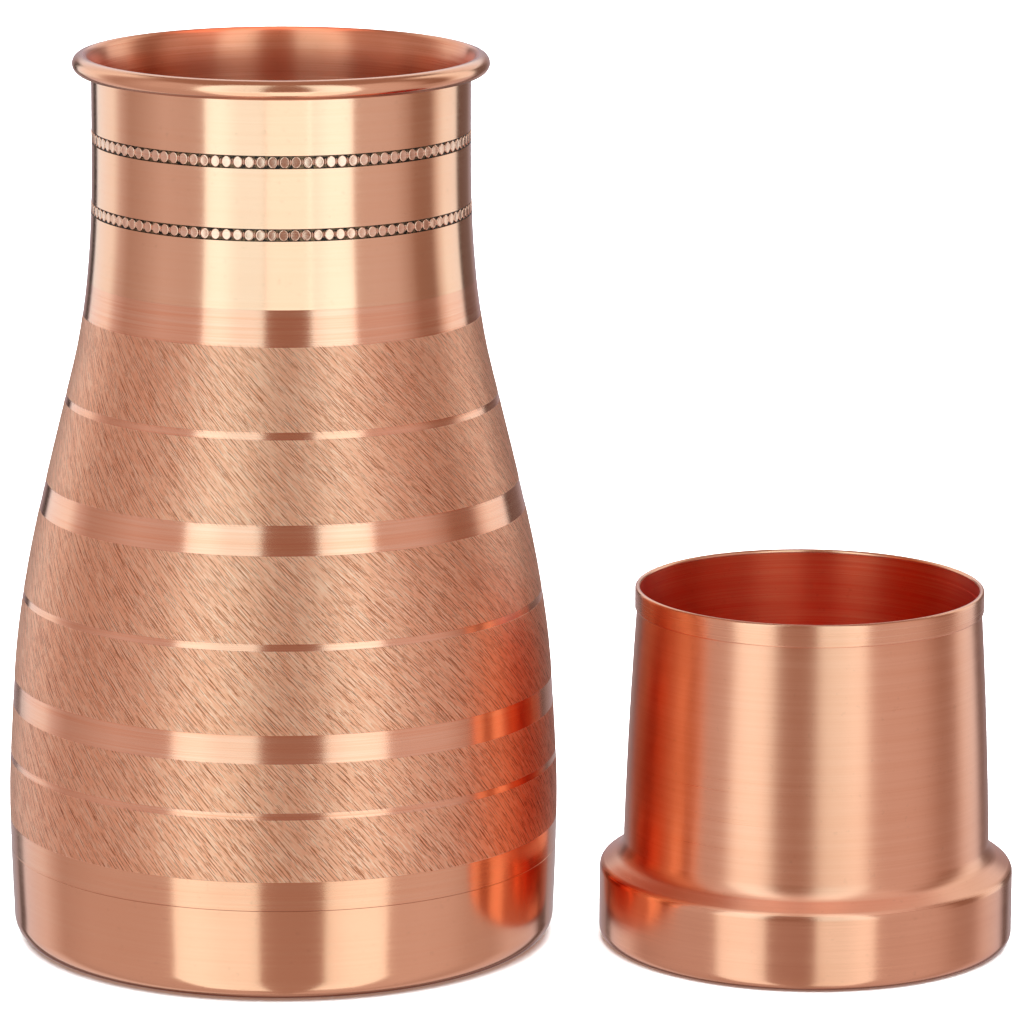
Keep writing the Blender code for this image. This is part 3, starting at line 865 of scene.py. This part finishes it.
panel("box_left_up", -0.395, -0.067, -0.391, 0.03, 1.3, 1.53, 0.50)
panel("box_left_low", -0.395, -0.067, -0.391, -0.9, 0.03, 1.28, 0.50)
panel("box_right_up", 0.120, 0.382, -0.424, 0.03, 1.3, 1.53, 0.50)
panel("box_right_low", 0.120, 0.382, -0.424, -0.9, 0.03, 1.28, 0.50)
neck_fill = panel("box_middle", -0.067, 0.120, -0.408, -0.5, 0.50, 1.36, 0.25)
lip_fill = panel("box_under_lip", -0.067, 0.120, -0.407, -0.5, 0.11, 1.36, 0.25)
only_neck = bpy.data.collections.new("seen_by_neck")
only_neck.objects.link(neck_skin)
neck_fill.light_linking.receiver_collection = only_neck
only_lip = bpy.data.collections.new("seen_by_lip")
only_lip.objects.link(lip_skin)
lip_fill.light_linking.receiver_collection = only_lip

add = [p - q for p, q in zip(grey(0.66), grey(0.27))]
shoulder_light = area("over_cup_shoulder", (0.114, 0.05, 0.9), (0.114, 0.05, 0.0), (1.6, 1.6), max(add) * 4.0 * 1.6 * 1.6,
                      True, False, tuple(v / max(add) for v in add))
only_shoulder = bpy.data.collections.new("seen_by_cup_wall")
only_shoulder.objects.link(cup_shell)
shoulder_light.light_linking.receiver_collection = only_shoulder
mouth_light = area("mouth_soft", (0.055, -0.02, 0.62), (0.055, 0.0, 0.0), (0.5, 0.34), 1.5 * 4.0 * 0.5 * 0.34, True, False, (1.0, 0.62, 0.55))
linings = bpy.data.collections.new("seen_by_linings")
linings.objects.link(jug_lining)
linings.objects.link(cup_lining)
mouth_light.light_linking.receiver_collection = linings
area("overhead_soft", (0.05, -0.1, 2.2), (0.05, 0.0, 0.0), (3.4, 3.4), 230.0, False)
area("back_soft", (0.1, 2.4, 1.6), (0.05, 0.6, 0.0), (3.0, 2.0), 90.0, False)

# pale surround behind the floor, seen by the camera only
dt = Tree("pale_surround")
dn = dt.noise(dt.scaled(0.3, 0.3, 0.3), 1.0, 2.0, 0.5)
dt.put(dt.bsdf.inputs["Base Color"], (0.0, 0.0, 0.0))
dt.put(dt.bsdf.inputs["Emission Color"], dt.mix(dt.span(dn, 0.3, 0.7), (0.98, 0.98, 0.98), (1.0, 1.0, 1.0)))
dt.bsdf.inputs["Emission Strength"].default_value = 1.0
dt.bsdf.inputs["Specular IOR Level"].default_value = 0.0
dv, df = [], []
for q in range(13):
    e = math.radians(-6.0 + 96.0 * q / 12)
    for j in range(64):
        w = math.tau * j / 64
        dv.append((9.0 * math.cos(e) * math.cos(w), 9.0 * math.cos(e) * math.sin(w), 9.0 * math.sin(e)))
for q in range(12):
    for j in range(64):
        k = (j + 1) % 64
        df.append((q * 64 + j, (q + 1) * 64 + j, (q + 1) * 64 + k, q * 64 + k))
surround = new_object("surround", dv, df, (0.05, 0.0, 0.0), [dt.mat])
for flag in ("visible_glossy", "visible_diffuse", "visible_shadow", "visible_transmission"):
    setattr(surround, flag, False)

cam_d = bpy.data.cameras.new("camera")
cam_d.sensor_width = 36.0
cam_d.lens = 217.13
cam_d.clip_start = 0.05
cam_d.clip_end = 50.0
cam = bpy.data.objects.new("camera", cam_d)
scene.collection.objects.link(cam)
fwd = Vector((0.03707373, 0.9770623, -0.2097017)).normalized()
right = Vector((0.99930569, -0.03702431, 0.00416271)).normalized()
up = right.cross(fwd).normalized()
m = Matrix((right, up, -fwd)).transposed().to_4x4()
m.translation = Vector((0.0, -1.31279, 0.37494))
cam.matrix_world = m
scene.camera = cam

bpy.context.view_layer.update()
